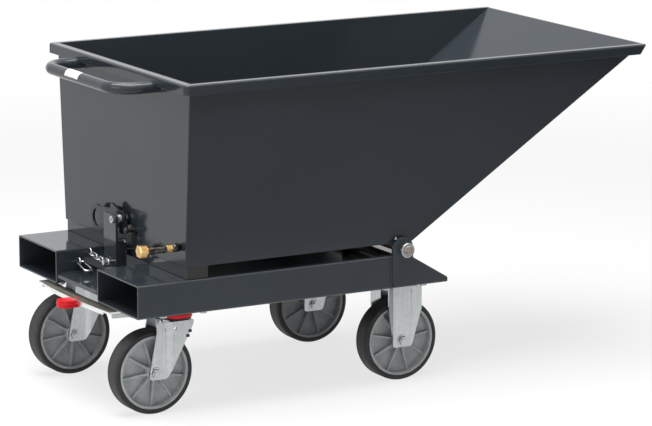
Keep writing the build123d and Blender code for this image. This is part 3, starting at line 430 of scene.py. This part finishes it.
def valve_metal(place):
    """Dull nickel plating that has gone dark grey."""
    dark = grey(0.03)
    light = grey(0.11, (1.03, 1.0, 0.95))
    stain = place.noise(90.0, detail=4.0, roughness=0.6)
    return {
        "Base Color": stain.between(0.35, 0.7).colour(dark, light),
        "Metallic": 1.0,
        "Roughness": 0.10 + 0.12 * stain,
        "Normal": place.noise(500.0, detail=2.0).bump(0.05, depth=0.3 * MM),
    }


def brass(place):
    """Machined brass, a little tarnished."""
    clean = (0.74, 0.49, 0.21, 1.0)
    tarnished = (0.45, 0.27, 0.09, 1.0)
    stain = place.noise(150.0, detail=4.0, roughness=0.6).between(0.35, 0.75)
    tool_marks = place.stretch((1400.0, 60.0, 60.0)).noise(1.0, detail=2.0)
    return {
        "Base Color": stain.colour(clean, tarnished),
        "Metallic": 1.0,
        "Roughness": 0.16 + 0.14 * stain,
        "Normal": tool_marks.bump(0.05, depth=0.3 * MM),
    }


def black_plastic(place):
    """Moulded black plastic."""
    flow = place.noise(70.0)
    return {
        "Base Color": flow.colour(grey(0.012), grey(0.024)),
        "Roughness": 0.34 + 0.12 * flow,
        "Normal": place.noise(1300.0, detail=2.0).bump(0.15, depth=0.4 * MM),
    }


def white_sticker(place):
    """Smooth white film with a little grime."""
    clean = grey(0.84)
    soiled = grey(0.70, (1.0, 0.98, 0.95))
    grime = place.noise(120.0, detail=4.0, roughness=0.6).between(0.45, 0.8)
    return {
        "Base Color": grime.colour(clean, soiled),
        "Roughness": 0.32 + 0.1 * grime,
        "Normal": place.noise(300.0, detail=2.0).bump(0.05, depth=0.3 * MM),
    }


FINISHES = {
    "frame_paint": finish("frame_powder_coat", powder_coat(level=0.041, gloss=0.48, roughness=0.06)),
    "trough_paint": finish("trough_powder_coat", powder_coat(level=0.034, gloss=0.35, roughness=0.13)),
    "rim_paint": finish("rim_powder_coat", powder_coat(level=0.034, gloss=0.36, roughness=0.05)),
    # The latch lever's coat is the same powder coat at about half the colour level, as painted shade, and a
    # little duller
    "latch_paint_with_painted_shade": finish("latch_coat_with_painted_shade", powder_coat(level=0.018, gloss=0.30, roughness=0.22)),
    "zinc": finish("zinc_plating", zinc_plating),
    "zinc_with_painted_edge_highlight": finish("zinc_strip_with_painted_edge_highlight", zinc_with_painted_edge_highlight),
    "bare_steel": finish("rusty_steel", rusty_steel),
    "black_steel": finish("blackened_steel", black_steel),
    "tyre_rubber": finish("solid_rubber", tyre_rubber),
    "hub_plastic": finish("grey_hub_plastic", hub_plastic),
    "red_plastic": finish("red_moulding", red_plastic),
    "valve_metal": finish("dull_nickel", valve_metal),
    "brass": finish("machined_brass", brass),
    "black_plastic": finish("black_moulding", black_plastic),
    "white_sticker": finish("white_sticker", white_sticker),
}

# The record's slot of each solid, and the solids whose finish or rounding is their own
SLOT_OF = {row["node"]: row["material_slot"] for row in frame["record"]["subparts"]}
OWN_FINISH = {
    "latch_lever": "latch_paint_with_painted_shade",
    "brake_bar": "zinc_with_painted_edge_highlight",
    "push_handle": "rim_paint",
    "trough_rim_left": "rim_paint",
    "trough_rim_right": "rim_paint",
    "trough_rim_rear": "rim_paint",
}
ROUNDING = {
    "frame_paint": EDGE_SHEET,
    "trough_paint": EDGE_SHEET,
    "hub_plastic": EDGE_MOULDED,
    "zinc": EDGE_SMALL,
    "red_plastic": EDGE_SMALL,
}
FOLDED = ("fixed_fork_left", "fixed_fork_right", "swivel_fork_left", "swivel_fork_right")


def round_edges(piece, width):
    """Rounds the sharp edges of a solid and evens its shading."""
    weld = piece.modifiers.new("join_corners", "WELD")
    weld.merge_threshold = JOIN_CORNERS
    flat = piece.modifiers.new("clear_flats", "DECIMATE")
    flat.decimate_type = "DISSOLVE"
    flat.angle_limit = radians(FLAT_ANGLE)
    bevel = piece.modifiers.new("round_edges", "BEVEL")
    bevel.width = width
    bevel.segments = EDGE_STEPS
    bevel.limit_method = "ANGLE"
    bevel.angle_limit = radians(SHARP_ANGLE)
    even = piece.modifiers.new("even_shading", "WEIGHTED_NORMAL")
    even.weight = FACE_WEIGHT


def dress_nodes():
    """Gives every solid its finish, and rounds the edges of the sheet, moulded and plated ones."""
    for name, piece in nodes.items():
        slot = SLOT_OF[name]
        piece.data.materials.clear()
        piece.data.materials.append(FINISHES[OWN_FINISH.get(name, slot)])
        if slot in ROUNDING:
            round_edges(piece, EDGE_FOLDED if name in FOLDED else ROUNDING[slot])


def at(x, y, z):
    return Vector((x, y, z))


# For each axis: the two directions across it, and its own
AXES = {
    "x": (at(0, 1, 0), at(0, 0, 1), at(1, 0, 0)),
    "y": (at(0, 0, 1), at(1, 0, 0), at(0, 1, 0)),
    "z": (at(1, 0, 0), at(0, 1, 0), at(0, 0, 1)),
}


def metres(outline):
    """An outline that was written in millimetres."""
    return [(first * MM, second * MM) for first, second in outline]


def net(rows, columns, closed_rows, closed_columns):
    """Four-sided faces over rows of points, joined end to end where closed."""
    faces = []
    for i in range(rows if closed_rows else rows - 1):
        for j in range(columns if closed_columns else columns - 1):
            i2, j2 = (i + 1) % rows, (j + 1) % columns
            faces.append((i * columns + j, i * columns + j2, i2 * columns + j2, i2 * columns + j))
    return faces


def turned(profile, centre, axis, steps=64):
    """A ring or knob: a closed outline of (radius, place along the axis) pairs carried round the axis."""
    across, up, along = AXES[axis]
    points = []
    for i in range(steps):
        spoke = across * cos(tau * i / steps) + up * sin(tau * i / steps)
        points += [centre + spoke * r + along * h for r, h in profile]
    return points, net(steps, len(profile), True, True)


def prism(outline, centre, axis, low, high):
    """A flat outline drawn out along an axis."""
    across, up, along = AXES[axis]
    n = len(outline)
    points = [centre + across * u + up * v + along * h for h in (low, high) for u, v in outline]
    ends = [tuple(range(n)), tuple(range(n, 2 * n))]
    return points, ends + net(2, n, False, True)


def block(centre, size):
    """A block, to be rounded."""
    u, v, w = (length / 2 for length in size)
    return prism([(-u, -v), (u, -v), (u, v), (-u, v)], centre, "z", -w, w)


def six_sides(flats):
    """The outline of a hexagon, so wide across its flats."""
    corner = flats / 2 / cos(radians(30))
    return [(corner * cos(tau * i / 6), corner * sin(tau * i / 6)) for i in range(6)]


def thread(radius, low, high, pitch, depth):
    """The outline of a threaded sleeve: a saw-tooth outside, plain inside."""
    turns = ceil((high - low) / pitch)
    step = (high - low) / turns
    outline = []
    for i in range(turns):
        outline += [(radius, low + step * i), (radius + depth, low + step * (i + 0.5))]
    return outline + [(radius, high), (radius - depth, high), (radius - depth, low)]


def evenly(corners, step, closed):
    """Points at even steps along a path of straight stretches."""
    path = []
    ends = corners[1:] + (corners[:1] if closed else [])
    for start, end in zip(corners, ends):
        count = max(1, round((end - start).length / step))
        path += [start.lerp(end, i / count) for i in range(count)]
    return path if closed else path + [corners[-1]]


def circle_path(centre, axis, radius, count=48):
    across, up = AXES[axis][:2]
    turns = [tau * i / count for i in range(count)]
    return [centre + (across * cos(t) + up * sin(t)) * radius for t in turns]


def oval_path(centre, length, width):
    """The outline of an oval with two straight sides along X."""
    r = width / 2
    straight = length / 2 - r
    path = []
    for end, start in ((1, -90), (-1, 90)):
        turns = [radians(start + 180 * i / PAD_END_STEPS) for i in range(PAD_END_STEPS + 1)]
        path += [centre + at(end * straight + r * cos(t), r * sin(t), 0) for t in turns]
    return path


def tube(path, radii, sides, closed):
    """A round bar along a path, as thick at each point as radii says."""
    points = []
    last = len(path) - 1
    across = None
    for i, centre in enumerate(path):
        before = path[i - 1] if closed or i else centre
        after = path[(i + 1) % len(path)] if closed or i < last else centre
        along = (after - before).normalized()
        across = along.orthogonal() if across is None else across - along * across.dot(along)
        across.normalize()
        up = along.cross(across)
        for j in range(sides):
            turn = tau * j / sides
            points.append(centre + (across * cos(turn) + up * sin(turn)) * radii[i])
    faces = net(len(path), sides, closed, True)
    if not closed:
        faces += [tuple(range(sides)), tuple(range(last * sides, (last + 1) * sides))]
    return points, faces


def add_piece(name, shape, coat, body, edge=None):
    """An object made of points and faces, given its finish and fixed to a body."""
    points, faces = shape
    mesh = bpy.data.meshes.new(name)
    mesh.from_pydata(points, [], faces)
    form = bmesh.new()
    form.from_mesh(mesh)
    bmesh.ops.remove_doubles(form, verts=form.verts, dist=JOIN_POINTS)
    bmesh.ops.recalc_face_normals(form, faces=form.faces)
    form.to_mesh(mesh)
    form.free()
    for face in mesh.polygons:
        face.use_smooth = True
    mesh.set_sharp_from_angle(angle=radians(SMOOTH_ANGLE))
    piece = bpy.data.objects.new(name, mesh)
    scene.collection.objects.link(piece)
    piece.data.materials.append(FINISHES[coat])
    if edge:
        round_edges(piece, edge)
    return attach(piece, body)


def add_weld(name, corners, radius, coat, body, closed=False):
    """A rippled weld bead along a path."""
    path = evenly(corners, radius * WELD_STEP, closed)
    chance = Random(name)
    radii = []
    for i in range(len(path)):
        ripple = WELD_WAVE * sin(tau * i * WELD_STEP / WELD_RIPPLE)
        radii.append(radius * (WELD_MEAN + ripple + chance.uniform(-WELD_CHANCE, WELD_CHANCE)))
    return add_piece(name, tube(path, radii, WELD_SIDES, closed), coat, body)


def add_frame_welds():
    """Beads round the pivot ears, along the ends of the cross channels and at the foot of the latch post."""
    inner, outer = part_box("fork_pocket_left")
    for side, out in SIDES.items():
        low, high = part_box(f"pivot_ear_{side}")
        y = out * outer.y
        corners = [
            at(low.x, y, outer.z),
            at(low.x, y, low.z),
            at(high.x, y, low.z),
            at(high.x, y, outer.z - EAR_WELD_STOP),
        ]
        add_weld(f"ear_weld_{side}", corners, WELD, "frame_paint", "undercarriage")
        y = out * inner.y
        for end in ("rear", "front"):
            low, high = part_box(f"{end}_cross_channel")
            corners = [at(low.x + CHANNEL_CORNER, y, high.z), at(high.x, y, high.z)]
            add_weld(f"{end}_channel_weld_{side}", corners, WELD, "frame_paint", "undercarriage")
    low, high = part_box("latch_post")
    for face, x in (("rear", low.x), ("front", low.x + POST_SHEET)):
        corners = [at(x, low.y, low.z), at(x, high.y, low.z)]
        add_weld(f"post_weld_{face}", corners, WELD, "frame_paint", "undercarriage")


def add_trough_welds():
    """Beads in the inner seams of the trough, round the handle's ends and along the rest beam."""
    wall_rear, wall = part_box("trough_rear_wall")
    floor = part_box("trough_floor")[1]
    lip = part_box("trough_chute")[1]
    handle_low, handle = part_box("push_handle")
    handle_r = (handle.z - handle_low.z) / 2
    for side, out in SIDES.items():
        top = at(wall.x, out * wall.y, wall.z - RIM_STOP)
        bottom = at(wall.x, out * floor.y, floor.z)
        bend = at(floor.x, out * floor.y, floor.z)
        tip = bend.lerp(at(lip.x, out * lip.y, lip.z), LIP_SHARE)
        add_weld(f"inner_seam_{side}", [top, bottom, bend, tip], SEAM, "rim_paint", "trough")
        centre = at(wall_rear.x, out * (handle.y - handle_r), handle.z - handle_r)
        ring = circle_path(centre, "x", handle_r)
        add_weld(f"handle_weld_{side}", ring, WELD, "trough_paint", "trough", True)
    corners = [at(wall.x, -floor.y, floor.z), at(wall.x, floor.y, floor.z)]
    add_weld("rear_floor_seam", corners, SEAM, "trough_paint", "trough")
    low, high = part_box("rest_beam")
    for face, x in (("rear", low.x), ("front", high.x)):
        corners = [at(x, low.y, high.z), at(x, high.y, high.z)]
        add_weld(f"beam_weld_{face}", corners, WELD, "frame_paint", "trough")


def tyre_outline(radius, bore, half):
    """Half of a tyre's section: bead lip, sidewall ring, round shoulder and a groove beside the tread."""
    side = [(bore + rise, half - depth) for rise, depth in metres(TYRE_SIDE)]
    turns = [radians(90 * i / SHOULDER_STEPS) for i in range(SHOULDER_STEPS + 1)]
    r = TYRE_SHOULDER
    shoulder = [(radius - r + r * sin(t), half - r + r * cos(t)) for t in turns]
    edge = half - r - TREAD_EDGE
    groove = [(radius - depth, edge - inward) for depth, inward in metres(TREAD_GROOVE)]
    return side + shoulder + groove


def add_tyres():
    """Turned tyres with lip, sidewall ring and tread grooves in place of the plain ones."""
    for end in ENDS:
        for side in SIDES:
            node = f"{end}_tyre_{side}"
            low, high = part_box(node)
            hub_low, hub_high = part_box(f"{end}_hub_{side}")
            radius = (high.x - low.x) / 2
            bore = (hub_high.x - hub_low.x) / 2
            half = tyre_outline(radius, bore, (high.y - low.y) / 2)
            outline = half + [(r, -h) for r, h in half[::-1]]
            tyre = turned(outline, (low + high) / 2, "y", TYRE_STEPS)
            piece = add_piece(f"{node}_tread", tyre, "tyre_rubber", f"{end}_wheel_{side}")
            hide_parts(node)


def add_axle_fittings():
    """Washers round the axle nuts and the threads that show beyond them."""
    for end in ENDS:
        for side in SIDES:
            body = "undercarriage" if end == "front" else f"swivel_{side}"
            low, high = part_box(f"{end}_axle_{side}")
            nut = (high.x - low.x) / 2
            reach = (high.y - low.y) / 2
            for way, facing in (("in", -1), ("out", 1)):
                place = (low + high) / 2 + at(0, facing * (reach - AXLE_END), 0)
                leg = -facing * AXLE_NUT
                washer = [(nut + rise, leg + facing * h) for rise, h in metres(AXLE_WASHER)]
                add_piece(f"{end}_axle_washer_{side}_{way}", turned(washer, place, "y"), "zinc", body)
                span = sorted((0.0, facing * (AXLE_END + AXLE_PROUD)))
                screw = turned(thread(AXLE_BOLT, *span, *AXLE_THREAD), place, "y", AXLE_STEPS)
                add_piece(f"{end}_axle_thread_{side}_{way}", screw, "zinc", body)


def add_castor_clips():
    """Two black clips on the front edge of each swivel fork's outer leg."""
    for side, out in SIDES.items():
        low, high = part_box(f"swivel_fork_{side}")
        y = out * max(abs(low.y), abs(high.y)) - out * CLIP[1] / 4
        for i, z in enumerate(CLIP_LEVELS):
            x = CLIP_X + (z - CLIP_LEVELS[0]) * CLIP_LEAN
            clip = block(at(x, y, z), CLIP)
            add_piece(f"swivel_clip_{side}_{i + 1}", clip, "black_plastic", f"swivel_{side}", EDGE_CLIP)


def outer_face(node, x, z, out):
    """Where a level line from outside first meets a node."""
    return nodes[node].ray_cast(at(x, out, z), at(0, -out, 0))[1]


def add_fork_ridges():
    """The pressed ridges down the outer leg of each castor fork."""
    for side, out in SIDES.items():
        for kind, body in (("swivel", f"swivel_{side}"), ("fixed", "undercarriage")):
            node = f"{kind}_fork_{side}"
            for i, ends in enumerate(FORK_RIDGES[kind]):
                corners = [outer_face(node, x, z, out) - at(0, out * RIDGE_SUNK, 0) for x, z in ends]
                path = evenly(corners, RIDGE_STEP, False)
                radii = [RIDGE] * len(path)
                radii[0] = radii[-1] = RIDGE / 2
                ridge = tube(path, radii, RIDGE_SIDES, False)
                add_piece(f"{node}_ridge_{i + 1}", ridge, "zinc", body)


def rear_face(node):
    """The middle of a node's rearmost face."""
    low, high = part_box(node)
    return at(low.x, (low.y + high.y) / 2, (low.z + high.z) / 2)


def add_latch_fittings():
    """The catch pin's dome, the latch bolt's socket, the post's side flange and its stop bolt."""
    dome = turned(metres(CATCH_DOME), rear_face("catch_pin"), "x")
    add_piece("catch_pin_dome", dome, "black_steel", "trough")
    socket = turned(metres(BOLT_SOCKET), rear_face("latch_bolt"), "x", BOLT_SOCKET_SIDES)
    add_piece("latch_bolt_socket", socket, "black_steel", "undercarriage")
    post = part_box("latch_post")[0]
    front = post.x + POST_SHEET
    middle = at(front + FLANGE[0] / 2, post.y + FLANGE[1] / 2, FLANGE_TOP - FLANGE[2] / 2)
    add_piece("post_side_flange", block(middle, FLANGE), "frame_paint", "undercarriage", EDGE_SHEET)
    bolt = at(front, post.y - STOP_BOLT, FLANGE_TOP - STOP_BOLT_DROP)
    shank = turned(thread(STOP_BOLT, *STOP_BOLT_SPAN, *STOP_BOLT_THREAD), bolt, "x", STOP_BOLT_STEPS)
    add_piece("stop_bolt_shank", shank, "black_steel", "undercarriage")
    head = prism(six_sides(STOP_HEAD), bolt, "x", *STOP_HEAD_SPAN)
    add_piece("stop_bolt_head", head, "zinc", "undercarriage", EDGE_SMALL)


def add_pivot_fittings():
    """Set screws in the collars and a grease nipple on each ear."""
    low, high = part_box("shaft_collars")
    for side, out in SIDES.items():
        place = at((low.x + high.x) / 2, out * (high.y - COLLAR_MIDDLE), high.z)
        screw = turned(metres(SET_SCREW), place, "z", SCREW_STEPS)
        add_piece(f"collar_set_screw_{side}", screw, "black_steel", "undercarriage")
        ear_low, ear_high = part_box(f"pivot_ear_{side}")
        foot = at(ear_low.x + NIPPLE_IN, (ear_low.y + ear_high.y) / 2, ear_high.z - NIPPLE_DROP)
        nipple = turned(metres(GREASE_NIPPLE), foot, "z", SCREW_STEPS)
        add_piece(f"ear_nipple_{side}", nipple, "zinc", "undercarriage")


def add_drain_fittings():
    """The spigot's thread, two turned rings on the valve body and the gland under the tee."""
    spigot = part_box("drain_cap")[1].x
    lock_low, lock_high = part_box("drain_lock_nut")
    centre = at(0, (lock_low.y + lock_high.y) / 2, (lock_low.z + lock_high.z) / 2)
    start = spigot + DRAIN_GAP
    end = lock_low.x
    screw = thread(DRAIN_SPIGOT, spigot, start, *SPIGOT_THREAD)
    add_piece("spigot_thread", turned(screw, centre, "x"), "brass", "trough")
    inner = DRAIN_BODY - VALVE_RING_SUNK
    outer = DRAIN_BODY + VALVE_RING_RISE
    for i, x in enumerate((start + VALVE_RING_INSETS[0], end - VALVE_RING_INSETS[1])):
        ring = [(inner, x), (outer, x), (outer, x + VALVE_RING), (inner, x + VALVE_RING)]
        add_piece(f"valve_ring_{i + 1}", turned(ring, centre, "x"), "valve_metal", "trough", EDGE_SMALL)
    boss = at((start + end) / 2, centre.y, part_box("drain_valve")[1].z)
    gland = prism(six_sides(GLAND), boss, "z", *GLAND_SPAN)
    add_piece("stem_gland", gland, "valve_metal", "trough", EDGE_SMALL)


def add_pad_fittings():
    """The ridge round the red foot pad and the tab that grips the bar's edge."""
    low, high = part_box("brake_pad")
    size = high - low
    path = oval_path((low + high) / 2, size.x - 2 * PAD_INSET, size.y - 2 * PAD_INSET)
    ridge = tube(path, [PAD_RIDGE] * len(path), PAD_RIDGE_SIDES, True)
    add_piece("pad_ridge", ridge, "red_plastic", "brake_treadle")
    tab = block(at(high.x - PAD_TAB_IN, low.y + PAD_TAB_DEEP, high.z), PAD_TAB)
    add_piece("pad_tab", tab, "red_plastic", "brake_treadle", EDGE_TAB)


def add_sticker():
    """A blank white sticker wrapped over the push handle."""
    low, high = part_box("push_handle")
    radius = (high.z - low.z) / 2
    centre = at(low.x + radius, STICKER_Y, high.z - radius)
    first, last = STICKER_TURN
    rows, columns = STICKER_ROWS, STICKER_COLUMNS
    points = []
    for lift in (0.0, STICKER_THICK):
        for i in range(rows + 1):
            turn = radians(first + (last - first) * i / rows)
            spoke = at(-sin(turn), 0, cos(turn)) * (radius + STICKER_GLUE + lift)
            for j in range(columns + 1):
                points.append(centre + at(0, STICKER_LENGTH * (j / columns - 0.5), 0) + spoke)
    width = columns + 1
    layer = (rows + 1) * width
    faces = []
    for base in (0, layer):
        faces += [tuple(base + k for k in face) for face in net(rows + 1, width, False, False)]
    border = list(range(width))
    border += [i * width + columns for i in range(1, rows + 1)]
    border += [rows * width + j for j in range(columns - 1, -1, -1)]
    border += [i * width for i in range(rows - 1, 0, -1)]
    for a, b in zip(border, border[1:] + border[:1]):
        faces.append((a, b, b + layer, a + layer))
    add_piece("blank_sticker", (points, faces), "white_sticker", "trough")


def add_camera():
    turn, dip = radians(CAMERA_TURN), radians(CAMERA_DIP)
    forward = at(sin(turn) * cos(dip), cos(turn) * cos(dip), -sin(dip))
    data = bpy.data.cameras.new("photo_camera")
    data.lens = CAMERA_LENS
    data.sensor_width = CAMERA_SENSOR
    data.clip_end = CAMERA_REACH
    camera = bpy.data.objects.new("photo_camera", data)
    camera.location = CAMERA_PLACE
    camera.rotation_euler = forward.to_track_quat("-Z", "Y").to_euler()
    scene.collection.objects.link(camera)
    scene.camera = camera


def seen_rays(wire):
    """1 for rays that show the background: straight, mirrored or through glass."""
    kinds = ("Camera", "Glossy", "Transmission")
    camera, mirrored, through = (wire.node("LightPath", out=f"Is {kind} Ray") for kind in kinds)
    return camera.either(mirrored).either(through)


def add_floor():
    """A pale floor that keeps the shadow and goes white further out."""
    bpy.ops.mesh.primitive_plane_add(size=FLOOR_SIZE)
    floor = bpy.context.object
    floor.name = "studio_floor"
    material, wire = new_material("studio_paper")
    place = object_place(wire)
    far = place.node("VectorMath", {"operation": "LENGTH"}, {0: place}, out="Value").between(*FLOOR_RING)
    paper = wire.node("BsdfDiffuse", None, {"Color": grey(FLOOR_PAPER)})
    shadowed = wire.node("BsdfDiffuse", None, {"Color": grey(FLOOR_SHADOW)})
    fill = wire.node("Emission", None, {"Color": grey(1.0), "Strength": FLOOR_GLOW})
    near = wire.node("AddShader", None, {0: shadowed, 1: fill})
    white = wire.node("Emission", None, {"Color": grey(1.0), "Strength": 1.0})
    shown = wire.node("MixShader", None, {0: far, 1: near, 2: white})
    surface = wire.node("MixShader", None, {0: seen_rays(wire), 1: paper, 2: shown})
    wire.node("OutputMaterial", None, {"Surface": surface})
    floor.data.materials.append(material)


def add_sky():
    """A white surround for what is seen and mirrored, and a plain soft light."""
    world = bpy.data.worlds.new("studio")
    scene.world = world
    world.use_nodes = True
    world.node_tree.nodes.clear()
    wire = Wire(world.node_tree)
    soft = wire.node("Background", None, {"Color": grey(1.0), "Strength": SKY_LIGHT})
    white = wire.node("Background", None, {"Color": grey(1.0), "Strength": 1.0})
    sky = wire.node("MixShader", None, {0: seen_rays(wire), 1: soft, 2: white})
    wire.node("OutputWorld", None, {"Surface": sky})


def add_lamp(name, place, aim, size, power):
    data = bpy.data.lights.new(name, "AREA")
    data.shape = "RECTANGLE"
    data.size, data.size_y = size
    data.energy = power
    lamp = bpy.data.objects.new(name, data)
    lamp.location = place
    lamp.rotation_euler = (Vector(aim) - Vector(place)).to_track_quat("-Z", "Y").to_euler()
    scene.collection.objects.link(lamp)


def add_card(name, corners, level, fade=None):
    """A studio card that only mirror rays meet, going dark along X where fade says."""
    mesh = bpy.data.meshes.new(name)
    mesh.from_pydata(corners, [], [tuple(range(len(corners)))])
    card = bpy.data.objects.new(name, mesh)
    scene.collection.objects.link(card)
    material, wire = new_material(name)
    tone = grey(1.0)
    if fade:
        tone = object_place(wire).along("X").between(*fade).colour(grey(1.0), grey(CARD_DARK))
    glow = wire.node("Emission", None, {"Color": tone, "Strength": level})
    wire.node("OutputMaterial", None, {"Surface": glow})
    mesh.materials.append(material)
    card.visible_camera = False
    card.visible_diffuse = False
    card.visible_shadow = False
    card.visible_transmission = False
    card.visible_volume_scatter = False


def add_cards():
    """A grey card before the right side, on the floor and upright, and bright strips overhead."""
    near, far = CARD_Y
    left, right = CARD_X
    low, high = CARD_LIFT, CARD_TOP
    ground = [(left, near, low), (right, near, low), (right, far, low), (left, far, low)]
    add_card("grey_floor_card", ground, CARD_GREY, CARD_FADE)
    wall = [(left, far, low), (right, far, low), (right, far, high), (left, far, high)]
    add_card("grey_front_card", wall, CARD_GREY, CARD_FADE)
    left, right = STRIP_X
    for i, near in enumerate(STRIP_ROWS):
        far = near + STRIP_WIDTH
        strip = [(left, near, STRIP_Z), (right, near, STRIP_Z), (right, far, STRIP_Z), (left, far, STRIP_Z)]
        add_card(f"overhead_strip_{i + 1}", strip, STRIP_LEVEL)


def add_studio():
    add_floor()
    add_sky()
    add_cards()
    for lamp in LAMPS:
        add_lamp(*lamp)
    scene.view_settings.view_transform = "Standard"


dress_nodes()
add_frame_welds()
add_trough_welds()
add_tyres()
add_axle_fittings()
add_castor_clips()
add_fork_ridges()
add_latch_fittings()
add_pivot_fittings()
add_drain_fittings()
add_pad_fittings()
add_sticker()
add_camera()
add_studio()
